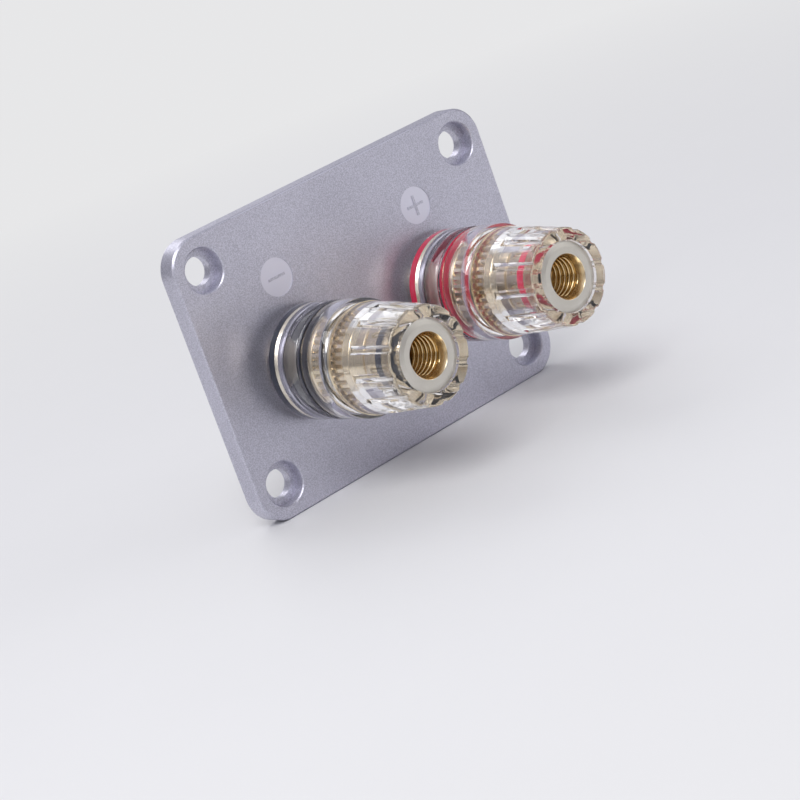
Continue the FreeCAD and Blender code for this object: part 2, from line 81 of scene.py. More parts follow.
class Shader:
    """A material's node tree, built node by node."""

    def __init__(self, name: str) -> None:
        """Starts an empty material.

        Args:
            name: the material's name.
        """
        self.material = bpy.data.materials.new(name)
        self.material.use_nodes = True
        self.tree = self.material.node_tree
        self.tree.nodes.clear()
        self.output = self.tree.nodes.new("ShaderNodeOutputMaterial")
        self.surface = self.tree.nodes.new("ShaderNodeBsdfPrincipled")
        self.tree.links.new(self.surface.outputs[0], self.output.inputs["Surface"])

    def node(self, kind: str, **values: object) -> bpy.types.Node:
        """Adds a node.

        Args:
            kind: the node's type name.
            values: properties, or input values where the key is an input's name with underscores.

        Returns:
            The new node.
        """
        made = self.tree.nodes.new(kind)
        for key, value in values.items():
            if hasattr(made, key):
                setattr(made, key, value)
            else:
                made.inputs[key.replace("_", " ")].default_value = value
        return made

    def link(self, source: bpy.types.NodeSocket, target: bpy.types.NodeSocket) -> None:
        """Joins an output to an input."""
        self.tree.links.new(source, target)

    def set(self, **values: object) -> None:
        """Sets inputs of the main surface by name, with underscores for spaces."""
        for key, value in values.items():
            self.surface.inputs[key.replace("_", " ")].default_value = value

    def place(self, centre: Sequence[float] = (0.0, 0.0, 0.0)) -> bpy.types.NodeSocket:
        """Object coordinates, counted from a centre.

        Args:
            centre: the point that becomes zero, in metres.

        Returns:
            The vector output.
        """
        coordinates = self.node("ShaderNodeTexCoord")
        shift = self.node("ShaderNodeMapping")
        shift.inputs["Location"].default_value = [-value for value in centre]
        self.link(coordinates.outputs["Object"], shift.inputs["Vector"])
        return shift.outputs["Vector"]

    def noise(self, vector: bpy.types.NodeSocket, scale: float,
              detail: float = 3.0) -> bpy.types.NodeSocket:
        """A noise between 0 and 1.

        Args:
            vector: the place at which it is read.
            scale: its repeats a metre.
            detail: how many finer layers it has.

        Returns:
            The noise's output.
        """
        made = self.node("ShaderNodeTexNoise", Scale=scale, Detail=detail)
        self.link(vector, made.inputs["Vector"])
        return made.outputs[0]

    def math(self, operation: str, first: object, second: object = 0.0) -> bpy.types.NodeSocket:
        """One step of arithmetic.

        Args:
            operation: the step's name.
            first: a socket or a number.
            second: a socket or a number.

        Returns:
            The result's output.
        """
        made = self.node("ShaderNodeMath", operation=operation)
        for index, value in enumerate((first, second)):
            if isinstance(value, bpy.types.NodeSocket):
                self.link(value, made.inputs[index])
            else:
                made.inputs[index].default_value = value
        return made.outputs[0]

    def remap(self, value: bpy.types.NodeSocket, low: float, high: float,
              to_low: float, to_high: float) -> bpy.types.NodeSocket:
        """Maps a value from one range to another, held at both ends.

        Args:
            value: the value.
            low: where the first range starts.
            high: where it ends.
            to_low: where the second range starts.
            to_high: where it ends.

        Returns:
            The mapped value's output.
        """
        made = self.node("ShaderNodeMapRange")
        made.inputs["From Min"].default_value = low
        made.inputs["From Max"].default_value = high
        made.inputs["To Min"].default_value = to_low
        made.inputs["To Max"].default_value = to_high
        self.link(value, made.inputs["Value"])
        return made.outputs[0]

    def blend(self, share: bpy.types.NodeSocket, first: object, second: object) -> bpy.types.NodeSocket:
        """A colour between two.

        Args:
            share: how much of the second colour there is, from 0 to 1.
            first: a colour, or a socket that gives one.
            second: a colour, or a socket that gives one.

        Returns:
            The colour's output.
        """
        made = self.node("ShaderNodeMix", data_type="RGBA")
        self.link(share, made.inputs["Factor"])
        for name, value in (("A", first), ("B", second)):
            socket = next(s for s in made.inputs if s.name == name and s.type == "RGBA")
            if isinstance(value, bpy.types.NodeSocket):
                self.link(value, socket)
            else:
                socket.default_value = (*value, 1.0)
        return next(s for s in made.outputs if s.type == "RGBA")

    def bump(self, height: bpy.types.NodeSocket, depth: float) -> None:
        """Roughens the surface's light.

        Args:
            height: the height, from 0 to 1.
            depth: how deep it is, in metres.
        """
        made = self.node("ShaderNodeBump", Strength=1.0, Distance=depth)
        self.link(height, made.inputs["Height"])
        self.link(made.outputs[0], self.surface.inputs["Normal"])


@dataclass(frozen=True)
class AnodisedFinish:
    """Fine bead-blasted aluminium with two lighter etched discs."""

    name: str = "anodised plate"
    colour: RGB = (0.69, 0.68, 0.78)
    dark: RGB = (0.43, 0.425, 0.50)
    etched: RGB = (0.75, 0.74, 0.84)
    roughness: float = 0.42
    grain: float = 4200.0
    disc_floor: float = -3.94
    disc_lip: float = -3.86
    disc_top: float = -3.80
    disc_edge: float = 0.02
    discs_above: float = 10.0
    discs_within: float = 23.0
    fade: float = 0.1

    def make(self) -> bpy.types.Material:
        """Builds the material.

        Returns:
            The material.
        """
        shader = Shader(self.name)
        place = shader.place()
        fine = shader.noise(place, self.grain, 2.0)
        broad = shader.noise(place, 60.0, 4.0)
        share = shader.math("ADD", shader.remap(fine, 0.35, 0.65, 0.0, 0.8),
                            shader.remap(broad, 0.3, 0.7, 0.0, 0.2))
        plain = shader.blend(share, self.dark, self.colour)
        axes = shader.node("ShaderNodeSeparateXYZ")
        shader.link(place, axes.inputs[0])
        floor = shader.remap(axes.outputs["Y"], (self.disc_floor - self.disc_edge) * MM,
                             (self.disc_floor + self.disc_edge) * MM, 0.0, 1.0)
        ceiling = shader.remap(axes.outputs["Y"], self.disc_top * MM, self.disc_lip * MM, 0.0, 1.0)
        up = shader.remap(axes.outputs["Z"], self.discs_above * MM,
                          (self.discs_above + self.fade) * MM, 0.0, 1.0)
        across = shader.math("ABSOLUTE", axes.outputs["X"])
        inside = shader.remap(across, self.discs_within * MM,
                              (self.discs_within - self.fade) * MM, 0.0, 1.0)
        etched = shader.math("MULTIPLY", shader.math("MULTIPLY", floor, ceiling),
                             shader.math("MULTIPLY", up, inside))
        colour = shader.blend(etched, plain, self.etched)
        shader.link(colour, shader.surface.inputs["Base Color"])
        shader.set(Metallic=0.9, Roughness=self.roughness)
        shader.bump(fine, 0.02 * MM)
        return shader.material


@dataclass(frozen=True)
class MetalFinish:
    """A plated or plain metal with turned lines round its axis and faint clouds of colour."""

    name: str
    colour: RGB
    deep: RGB
    roughness: float = 0.16
    lines: float = 3.0
    line_depth: float = 0.002

    def make(self, centre: Sequence[float]) -> bpy.types.Material:
        """Builds the material about an axis.

        Args:
            centre: a point of the axis, in metres.

        Returns:
            The material.
        """
        shader = Shader(self.name)
        place = shader.place(centre)
        cloud = shader.noise(place, 250.0, 3.0)
        colour = shader.blend(shader.remap(cloud, 0.3, 0.7, 0.0, 1.0), self.deep, self.colour)
        shader.link(colour, shader.surface.inputs["Base Color"])
        axes = shader.node("ShaderNodeSeparateXYZ")
        shader.link(place, axes.inputs[0])
        squares = [shader.math("POWER", axes.outputs[axis], 2.0) for axis in ("X", "Z")]
        radius = shader.math("SQRT", shader.math("ADD", *squares))
        along = shader.math("ADD", shader.math("MULTIPLY", radius, self.lines * 1000.0),
                            shader.math("MULTIPLY", axes.outputs["Y"], self.lines * 1000.0))
        marks = shader.node("ShaderNodeTexNoise", noise_dimensions="1D", Scale=1.0, Detail=4.0)
        shader.link(along, marks.inputs["W"])
        rough = shader.remap(marks.outputs[0], 0.3, 0.7, self.roughness * 0.8, self.roughness * 1.3)
        shader.link(rough, shader.surface.inputs["Roughness"])
        shader.set(Metallic=1.0)
        shader.bump(marks.outputs[0], self.line_depth * MM)
        return shader.material


@dataclass(frozen=True)
class ClearFinish:
    """Clear polished plastic with a faint tint and slight waves; lamps shine through it."""

    name: str = "clear plastic"
    tint: RGB = (0.99, 0.98, 0.995)
    shade: RGB = (0.96, 0.95, 0.97)
    index: float = 1.49
    roughness: float = 0.015

    def make(self) -> bpy.types.Material:
        """Builds the material.

        Returns:
            The material.
        """
        shader = Shader(self.name)
        place = shader.place()
        cloud = shader.noise(place, 120.0, 2.0)
        colour = shader.blend(shader.remap(cloud, 0.3, 0.7, 0.0, 1.0), self.tint, (0.99, 0.99, 0.985))
        shader.link(colour, shader.surface.inputs["Base Color"])
        shader.set(Roughness=self.roughness, IOR=self.index)
        shader.surface.inputs["Transmission Weight"].default_value = 1.0
        waves = shader.noise(place, 350.0, 1.0)
        shader.bump(waves, 0.002 * MM)
        path = shader.node("ShaderNodeLightPath")
        passing = shader.node("ShaderNodeBsdfTransparent", Color=(*self.shade, 1.0))
        mix = shader.node("ShaderNodeMixShader")
        shader.link(path.outputs["Is Shadow Ray"], mix.inputs[0])
        shader.link(shader.surface.outputs[0], mix.inputs[1])
        shader.link(passing.outputs[0], mix.inputs[2])
        shader.link(mix.outputs[0], shader.output.inputs["Surface"])
        return shader.material


@dataclass(frozen=True)
class DyedFinish:
    """Dyed plastic with a soft sheen and fine moulding grain."""

    name: str
    colour: RGB
    deep: RGB
    roughness: float = 0.22
    gloss: float = 0.5

    def make(self) -> bpy.types.Material:
        """Builds the material.

        Returns:
            The material.
        """
        shader = Shader(self.name)
        place = shader.place()
        cloud = shader.noise(place, 300.0, 3.0)
        colour = shader.blend(shader.remap(cloud, 0.3, 0.7, 0.0, 1.0), self.deep, self.colour)
        shader.link(colour, shader.surface.inputs["Base Color"])
        shader.set(Roughness=self.roughness)
        shader.surface.inputs["Coat Weight"].default_value = self.gloss
        shader.surface.inputs["Coat Roughness"].default_value = 0.05
        grain = shader.noise(place, 4000.0, 2.0)
        shader.bump(grain, 0.003 * MM)
        return shader.material


GOLD = MetalFinish("champagne gold plating", (0.82, 0.72, 0.55), (0.76, 0.65, 0.47), 0.2)
CHAMPAGNE = MetalFinish("satin champagne collar", (0.84, 0.78, 0.66), (0.78, 0.72, 0.60), 0.34)
# The bore and its thread get a darker, deeper copy of the gold: painted shade inside the recess.
SHADED_BORE_GOLD = MetalFinish("gold thread with painted shade", (0.80, 0.62, 0.35), (0.70, 0.52, 0.27), 0.14)
SATIN_GOLD = MetalFinish("satin gold face", (0.66, 0.63, 0.57), (0.60, 0.57, 0.51), 0.36, 2.0, 0.004)
NICKEL = MetalFinish("satin nickel", (0.66, 0.65, 0.68), (0.58, 0.57, 0.61), 0.24)
ZINC = MetalFinish("zinc plated spring steel", (0.55, 0.55, 0.57), (0.47, 0.47, 0.5), 0.3)
CRIMSON = DyedFinish("crimson plastic", (0.66, 0.012, 0.06), (0.52, 0.008, 0.05))
INK = DyedFinish("black plastic", (0.012, 0.016, 0.03), (0.008, 0.01, 0.02))
MATTE_BLACK = DyedFinish("moulded black bush", (0.03, 0.03, 0.033), (0.022, 0.022, 0.025), 0.5, 0.1)


def finish_mesh(name: str, mesh: bpy.types.Mesh, body: str,
                sharp: float = 0.6) -> bpy.types.Object:
    """Makes a shown piece of a mesh: outward faces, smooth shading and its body.

    Args:
        name: the piece's name.
        mesh: its mesh, already in place.
        body: the body it rides on.
        sharp: the angle in radians past which an edge stays sharp.

    Returns:
        The new object.
    """
    work = bmesh.new()
    work.from_mesh(mesh)
    bmesh.ops.remove_doubles(work, verts=work.verts, dist=1e-7)
    bmesh.ops.recalc_face_normals(work, faces=work.faces)
    work.to_mesh(mesh)
    work.free()
    for polygon in mesh.polygons:
        polygon.use_smooth = True
    mesh.set_sharp_from_angle(angle=sharp)
    mesh.name = name
    piece = bpy.data.objects.new(name, mesh)
    bpy.context.scene.collection.objects.link(piece)
    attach(piece, body)
    return piece


def rounded(corners: Sequence[Corner], radius: float, steps: int = 3) -> list[Corner]:
    """Rounds every corner of a closed outline a little.

    Args:
        corners: the outline's corners.
        radius: how far from a corner its rounding starts, at most.
        steps: how many pieces each rounding has.

    Returns:
        The rounded outline.
    """
    out: list[Corner] = []
    count = len(corners)
    for index, here in enumerate(corners):
        before = Vector(corners[index - 1])
        after = Vector(corners[(index + 1) % count])
        point = Vector(here)
        reach = min(radius, (before - point).length * 0.4, (after - point).length * 0.4)
        start = point + (before - point).normalized() * reach
        end = point + (after - point).normalized() * reach
        for step in range(steps + 1):
            share = step / steps
            spot = start.lerp(point, share).lerp(point.lerp(end, share), share)
            out.append((spot.x, spot.y))
    return out


@dataclass(frozen=True)
class PostAxis:
    """Where a post stands, and how its own stations and radii become places."""

    polarity: Polarity

    @property
    def centre(self) -> Vector:
        """The axis where it leaves the plate's front face, in metres."""
        return Vector((POST_SPACING / 2 * self.polarity.side, PLATE_FACE, -POST_DROP)) * MM

    @property
    def matrix(self) -> Matrix:
        """Takes a post's own frame, z forwards and in metres, to the part's frame."""
        return Matrix.Translation(self.centre) @ Matrix.Rotation(math.pi / 2, 4, "X")

    def name(self, piece: str) -> str:
        """The name of one of this post's pieces."""
        return f"{self.polarity.value}_{piece}"

    def turned(self, outline: Sequence[Corner], segments: int = 160,
               reach: Optional[Callable[[int, float, float], float]] = None) -> bpy.types.Mesh:
        """A turned closed solid about this post's axis.

        Args:
            outline: closed half section as (radius, station), in millimetres.
            segments: steps round the axis.
            reach: gives the radius at an outline point's number, its radius and an angle.

        Returns:
            The mesh, in the part's frame.
        """
        vertices: list[Vector] = []
        faces: list[tuple[int, ...]] = []
        count = len(outline)
        for turn in range(segments):
            angle = math.tau * turn / segments
            for number, (radius, station) in enumerate(outline):
                far = reach(number, radius, angle) if reach else radius
                far = max(far, 0.0)
                vertices.append(Vector((far * math.cos(angle), far * math.sin(angle), station)) * MM)
        for turn in range(segments):
            following = (turn + 1) % segments
            for number in range(count):
                after = (number + 1) % count
                if outline[number][0] <= 0.0 and outline[after][0] <= 0.0:
                    continue
                faces.append((turn * count + number, following * count + number,
                              following * count + after, turn * count + after))
        mesh = bpy.data.meshes.new("turned")
        mesh.from_pydata(vertices, [], faces)
        mesh.transform(self.matrix)
        return mesh


class NodeTree:
    """A Geometry Nodes tree with named inputs."""

    def __init__(self, name: str, inputs: Sequence[tuple[str, str]]) -> None:
        """Starts a tree.

        Args:
            name: the tree's name.
            inputs: pairs of an input's name and its socket type.
        """
        self.tree = bpy.data.node_groups.new(name, "GeometryNodeTree")
        self.keys: dict[str, str] = {}
        for label, kind in inputs:
            socket = self.tree.interface.new_socket(name=label, in_out="INPUT", socket_type=kind)
            self.keys[label] = socket.identifier
        self.tree.interface.new_socket(name="Geometry", in_out="OUTPUT", socket_type="NodeSocketGeometry")
        self.start = self.tree.nodes.new("NodeGroupInput")
        self.end = self.tree.nodes.new("NodeGroupOutput")

    def node(self, kind: str, **links: object) -> bpy.types.Node:
        """Adds a node.

        Args:
            kind: the node's type name.
            links: a property, or a socket or value for an input, by name with underscores for spaces.

        Returns:
            The new node.
        """
        made = self.tree.nodes.new(kind)
        for key, value in links.items():
            if hasattr(made, key) and not isinstance(value, bpy.types.NodeSocket):
                setattr(made, key, value)
                continue
            socket = made.inputs[key.replace("_", " ")]
            if isinstance(value, bpy.types.NodeSocket):
                self.tree.links.new(value, socket)
            else:
                socket.default_value = value
        return made

    def math(self, operation: str, first: object, second: object = 0.0) -> bpy.types.NodeSocket:
        """One step of arithmetic.

        Args:
            operation: the step's name.
            first: a socket or a number.
            second: a socket or a number.

        Returns:
            The result's output.
        """
        made = self.tree.nodes.new("ShaderNodeMath")
        made.operation = operation
        for index, value in enumerate((first, second)):
            if isinstance(value, bpy.types.NodeSocket):
                self.tree.links.new(value, made.inputs[index])
            else:
                made.inputs[index].default_value = value
        return made.outputs[0]

    def close(self, geometry: bpy.types.NodeSocket) -> None:
        """Ends the tree: makes the copies real and gives them their finish.

        Args:
            geometry: what the tree has made.
        """
        real = self.node("GeometryNodeRealizeInstances", Geometry=geometry)
        dressed = self.node("GeometryNodeSetMaterial", Geometry=real.outputs[0],
                            Material=self.start.outputs["Finish"])
        self.tree.links.new(dressed.outputs[0], self.end.inputs["Geometry"])

    def make(self, seed: bpy.types.Mesh, values: dict[str, object]) -> bpy.types.Mesh:
        """Runs the tree on a small mesh.

        Args:
            seed: the mesh that the modifier sits on.
            values: a value for each named input.

        Returns:
            The result as a plain mesh.
        """
        holder = bpy.data.objects.new("holder", seed)
        bpy.context.scene.collection.objects.link(holder)
        modifier = holder.modifiers.new("repeat", "NODES")
        modifier.node_group = self.tree
        for label, value in values.items():
            modifier[self.keys[label]] = value
        holder.update_tag()
        bpy.context.view_layer.update()
        graph = bpy.context.evaluated_depsgraph_get()
        mesh = bpy.data.meshes.new_from_object(holder.evaluated_get(graph), depsgraph=graph)
        holder.modifiers.clear()
        bpy.data.objects.remove(holder)
        return mesh


def knurl_tree() -> NodeTree:
    """A ring of copies of one tooth, each facing outwards.

    Returns:
        The tree.
    """
    tree = NodeTree("knurled band", [
        ("Geometry", "NodeSocketGeometry"), ("Teeth", "NodeSocketInt"),
        ("Radius", "NodeSocketFloat"), ("Finish", "NodeSocketMaterial")])
    ring = tree.node("GeometryNodeMeshCircle", Vertices=tree.start.outputs["Teeth"],
                     Radius=tree.start.outputs["Radius"])
    place = tree.node("GeometryNodeInputPosition")
    facing = tree.node("FunctionNodeAlignRotationToVector", axis="X", Vector=place.outputs[0])
    copies = tree.node("GeometryNodeInstanceOnPoints", Points=ring.outputs["Mesh"],
                       Instance=tree.start.outputs["Geometry"], Rotation=facing.outputs[0])
    tree.close(copies.outputs[0])
    return tree


def thread_tree() -> NodeTree:
    """A ridge that winds round the axis as a right-hand screw thread.

    Returns:
        The tree.
    """
    tree = NodeTree("thread ridge", [
        ("Geometry", "NodeSocketGeometry"), ("Radius", "NodeSocketFloat"), ("Pitch", "NodeSocketFloat"),
        ("Turns", "NodeSocketFloat"), ("Ridge", "NodeSocketFloat"), ("Start", "NodeSocketFloat"),
        ("Steps", "NodeSocketInt"), ("Finish", "NodeSocketMaterial")])
    take = tree.start.outputs
    line = tree.node("GeometryNodeCurvePrimitiveLine")
    path = tree.node("GeometryNodeResampleCurve", Curve=line.outputs[0], Count=take["Steps"])
    along = tree.node("GeometryNodeSplineParameter")
    turns = tree.math("MULTIPLY", along.outputs["Factor"], take["Turns"])
    angle = tree.math("MULTIPLY", turns, math.tau)
    spot = tree.node("ShaderNodeCombineXYZ",
                     X=tree.math("MULTIPLY", tree.math("COSINE", angle), take["Radius"]),
                     Y=tree.math("MULTIPLY", tree.math("SINE", angle), take["Radius"]),
                     Z=tree.math("ADD", tree.math("MULTIPLY", turns, take["Pitch"]), take["Start"]))
    wound = tree.node("GeometryNodeSetPosition", Geometry=path.outputs[0], Position=spot.outputs[0])
    upright = tree.node("GeometryNodeSetCurveNormal", mode="Z_UP", Curve=wound.outputs[0])
    section = tree.node("GeometryNodeCurvePrimitiveCircle", Resolution=8, Radius=take["Ridge"])
    ridge = tree.node("GeometryNodeCurveToMesh", Curve=upright.outputs[0],
                      Profile_Curve=section.outputs[0], Fill_Caps=True)
    tree.close(ridge.outputs[0])
    return tree


def tooth_mesh(height: float, width: float, length: float, taper: float) -> bpy.types.Mesh:
    """One knurl tooth with sloping sides and ends, standing out along x and running along z.

    Args:
        height: how far it stands out, in millimetres, with as much again inwards.
        width: its width at the foot.
        length: its length along the axis.
        taper: how far its ends slope in.

    Returns:
        The mesh, in metres.
    """
    crest = width * CREST_SHARE
    rings = ((-height, width / 2, 0.0), (0.0, width / 2, 0.0), (height, crest / 2, taper))
    vertices = []
    for out, half, inset in rings:
        for side, station in ((-half, inset), (half, inset), (half, length - inset), (-half, length - inset)):
            vertices.append(Vector((out, side, station)) * MM)
    faces = [(3, 2, 1, 0), (8, 9, 10, 11)]
    for base in (0, 4):
        for corner in range(4):
            after = (corner + 1) % 4
            faces.append((base + corner, base + after, base + 4 + after, base + 4 + corner))
    mesh = bpy.data.meshes.new("tooth")
    mesh.from_pydata(vertices, [], faces)
    return mesh


@dataclass
class Panel:
    """The plate, which keeps its own solid."""

    finish: AnodisedFinish = field(default_factory=AnodisedFinish)

    def dress(self, nodes: dict[str, bpy.types.Object]) -> None:
        """Gives the plate its anodised finish.

        Args:
            nodes: the solids by name.
        """
        paint(nodes["plate"], self.finish.make())
        log.info("plate dressed")


def paint(piece: bpy.types.Object, material: bpy.types.Material) -> None:
    """Gives a piece one material in all its slots.

    Args:
        piece: the piece.
        material: its material.
    """
    if not piece.material_slots:
        piece.data.materials.append(material)
    for held in piece.material_slots:
        held.link = "OBJECT"
        held.material = material


@dataclass
class ClearBase:
    """The clear base that stands on the plate, with its coloured ring in a groove."""

    axis: PostAxis
    radius: float = 11.0
    foot_radius: float = 9.9
    length: float = 12.0
    pocket: float = 7.06
    neck: float = 4.06
    gap: float = 0.02

    def outline(self) -> list[Corner]:
        """The half section, with a thin layer of air round each piece that it holds.

        Returns:
            The points, each a radius and a station.
        """
        groove_low = 3.1 - self.gap
        groove_high = 4.7 + self.gap
        groove_floor = 9.0 - self.gap
        top = self.length - self.gap
        return [
            (self.neck, -3.6), (5.9, -3.6), (5.9, -self.gap), (self.foot_radius, -self.gap),
            (self.foot_radius, 1.7), (self.radius, 2.3), (self.radius, groove_low),
            (groove_floor, groove_low), (groove_floor, groove_high),
            (self.radius, groove_high), (self.radius, top - 0.35), (self.radius - 0.35, top),
            (self.pocket, top), (self.pocket, 2.4 - self.gap), (self.neck, 2.4 - self.gap)]

    def build(self, clear: bpy.types.Material) -> None:
        """Makes the base.

        Args:
            clear: the clear plastic.
        """
        mesh = self.axis.turned(rounded(self.outline(), 0.14))
        piece = finish_mesh(self.axis.name("clear_base"), mesh, "terminal")
        piece.data.materials.append(clear)
        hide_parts(self.axis.name("base"))
        log.info("%s built", piece.name)


@dataclass
class ClearShroud:
    """The clear, fluted shroud of the knob."""

    axis: PostAxis
    start: float = 12.3
    front: float = 36.5
    lip: float = 11.0
    bore: float = 8.85
    slim_bore: float = 6.26
    bore_end: float = 23.46
    band_seat: float = 9.63
    crest: float = 10.0
    front_crest: float = 9.15
    steps: int = 12
    flutes: int = 12
    first_flute: float = 0.0
    flute_radius: float = 0.9
    flute_depth: float = 0.4
    flute_start: float = 26.5
    soft: float = 0.16
    segments: int = 480

    def outline(self) -> tuple[list[Corner], list[Optional[float]]]:
        """The half section, with the points that the flutes cut.

        Returns:
            The points, and for each one how far it lies inside the flute's wall, or None where no
            flute cuts it.
        """
        rear = self.start + 0.02
        points: list[tuple[float, float, Optional[float]]] = [
            (self.bore, rear, None), (10.4, rear, None), (10.5, rear + 0.03, None),
            (10.56, rear + 0.12, None), (10.96, self.start + 0.82, None),
            (self.lip, self.start + 0.95, None), (self.lip, 18.4, None), (10.97, 18.55, None),
            (10.9, 18.66, None), (10.2, 19.84, None), (10.12, 19.95, None), (10.1, 20.1, None),
            (10.1, 20.2, None), (10.07, 20.22, None), (self.band_seat, 20.22, None),
            (self.band_seat, 20.68, None), (10.3, 20.68, None), (10.34, 20.72, None),
            (10.35, 20.8, None), (self.crest, self.flute_start - 0.03, None),
            (self.crest, self.flute_start, 0.0)]
        body_end = self.front - 0.4
        for step in range(1, self.steps + 1):
            station = self.flute_start + (body_end - self.flute_start) * step / self.steps
            slope = (self.crest - self.front_crest) * step / self.steps
            points.append((self.crest - slope, station, 0.0))
        for drop, station in ((0.04, 36.22), (0.11, 36.33), (0.21, 36.42), (0.34, 36.48), (0.45, 36.5)):
            points.append((self.front_crest - drop, station, drop))
        points += [
            (7.2, self.front, None), (6.9, self.front, None), (6.76, self.front - 0.02, None),
            (6.76, self.front - 0.08, None), (6.75, self.front - 1.74, None), (6.72, self.front - 1.77, None),
            (self.slim_bore, self.front - 1.77, None), (self.slim_bore, self.bore_end + 0.05, None),
            (self.slim_bore + 0.05, self.bore_end, None), (self.bore - 0.04, self.bore_end, None),
            (self.bore, self.bore_end - 0.04, None)]
        return [(radius, station) for radius, station, _ in points], [flute for _, _, flute in points]

    def build(self, clear: bpy.types.Material) -> None:
        """Makes the shroud.

        Args:
            clear: the clear plastic.
        """
        outline, fluted = self.outline()
        pitch = math.tau / self.flutes
        lift = self.flute_radius - self.flute_depth

        def reach(number: int, radius: float, angle: float) -> float:
            """Cuts an outline point by the nearest flute.

            Args:
                number: the point's number.
                radius: its radius where nothing cuts it.
                angle: the angle round the axis.

            Returns:
                The radius at that angle.
            """
            drop = fluted[number]
            if drop is None:
                return radius
            turned = angle - math.radians(self.first_flute) - math.pi / 2
            away = (turned + pitch / 2) % pitch - pitch / 2
            distance = radius + drop + lift
            under = self.flute_radius ** 2 - (distance * math.sin(away)) ** 2
            wall = distance * math.cos(away) - math.sqrt(max(under, 0.0)) - drop
            share = max(self.soft - abs(wall - radius), 0.0) / self.soft
            return min(wall, radius) - share * share * self.soft / 4

        mesh = self.axis.turned(outline, self.segments, reach)
        body = self.axis.name("knob")
        piece = finish_mesh(self.axis.name("clear_shroud"), mesh, body, 0.5)
        piece.data.materials.append(clear)
        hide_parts(self.axis.name("shroud"))
        log.info("%s built", piece.name)


@dataclass
class GoldSleeve:
    """The knob's gold sleeve: a wide knurled head, a slim front with its ring, and the mouth."""

    axis: PostAxis
    radius: float = 6.2
    hub: float = 7.0
    crest: float = 8.8
    root: float = 8.38
    bore: float = 4.0
    mouth_floor: float = 3.6
    mouth_station: float = 34.6
    thread_crest: float = 3.56
    thread_rear: float = 25.9
    pitch: float = 1.25
    teeth: int = 40
    bands: tuple[Corner, ...] = ((14.7, 17.2), (19.2, 23.4))
    face: Corner = (4.3, 35.9)
    inside: float = 4.2

    def outline(self) -> list[Corner]:
        """The half section.

        Returns:
            The points, each a radius and a station.
        """
        (one_low, one_high), (two_low, two_high) = self.bands
        rim = self.root + 0.12
        return [
            (self.bore, 12.32), (self.hub, 12.32), (self.hub, 13.1), (rim - 0.25, 13.1), (rim, 13.35),
            (rim, one_low - 0.32), (rim - 0.3, one_low - 0.22), (rim - 0.3, one_low), (self.root, one_low),
            (self.root, one_high), (self.root + 0.02, one_high + 0.02), (self.root + 0.02, two_low - 0.02),
            (self.root, two_low), (self.root, two_high), (self.radius + 0.15, two_high),
            (self.radius, two_high + 0.15), (self.radius, 27.2), (5.85, 27.25), (5.85, 27.75),
            (self.radius, 27.8), (self.radius, 30.65), (5.6, 30.65), (5.6, 32.25),
            (self.radius, 32.25), (self.radius, 34.8), (6.7, 34.8), (6.7, 35.95), (5.5, 36.3),
            (4.35, 36.3), (4.25, 36.22), (self.mouth_floor, self.mouth_station),
            (self.bore, self.mouth_station - 0.3)]

    def build(self, gold: bpy.types.Material, deep: bpy.types.Material, satin: bpy.types.Material,
              knurls: NodeTree, threads: NodeTree) -> None:
        """Makes the turned sleeve, its knurled bands and its inner thread.

        Args:
            gold: the finish of the outside.
            deep: the finish of the bore and its thread, a darker, deeper gold that paints the recess's shade.
            satin: the finish of the front face.
            knurls: the tree of the knurled bands.
            threads: the tree of the threads.
        """
        body = self.axis.name("knob")
        mesh = self.axis.turned(rounded(self.outline(), 0.08), 192)
        sleeve = finish_mesh(self.axis.name("turned_sleeve"), mesh, body)
        for material in (gold, deep, satin):
            sleeve.data.materials.append(material)
        base = self.axis.centre
        for polygon in sleeve.data.polygons:
            spot = polygon.center - base
            away = math.hypot(spot.x, spot.z) / MM
            station = -spot.y / MM
            if station > self.face[1] and away > self.face[0]:
                polygon.material_index = 2
            # Faces inside the bore behind the mouth take the darker gold of painted shade.
            elif away < self.inside and station < self.mouth_station:
                polygon.material_index = 1
        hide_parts(self.axis.name("sleeve"))
        log.info("%s built", sleeve.name)
        width = math.tau * self.root / self.teeth * 0.98
        for label, (low, high) in zip(("rear", "front"), self.bands):
            tooth = tooth_mesh(self.crest - self.root, width, high - low, 0.3)
            ring = knurls.make(tooth, {"Teeth": self.teeth, "Radius": self.root * MM, "Finish": gold})
            ring.transform(Matrix.Translation((0.0, 0.0, low * MM)))
            ring.transform(self.axis.matrix)
            piece = finish_mesh(self.axis.name(f"{label}_knurl"), ring, body, 0.35)
            log.info("%s built with %d teeth", piece.name, self.teeth)
        depth = self.bore - self.thread_crest
        turns = (self.mouth_station - self.thread_rear) / self.pitch
        ridge = threads.make(bpy.data.meshes.new("seed"), {
            "Radius": self.bore * MM, "Pitch": self.pitch * MM, "Turns": turns,
            "Ridge": depth * MM, "Start": self.thread_rear * MM,
            "Steps": int(turns * 64), "Finish": deep})
        ridge.transform(self.axis.matrix)
        piece = finish_mesh(self.axis.name("inner_thread"), ridge, body, 0.9)
        log.info("%s built", piece.name)


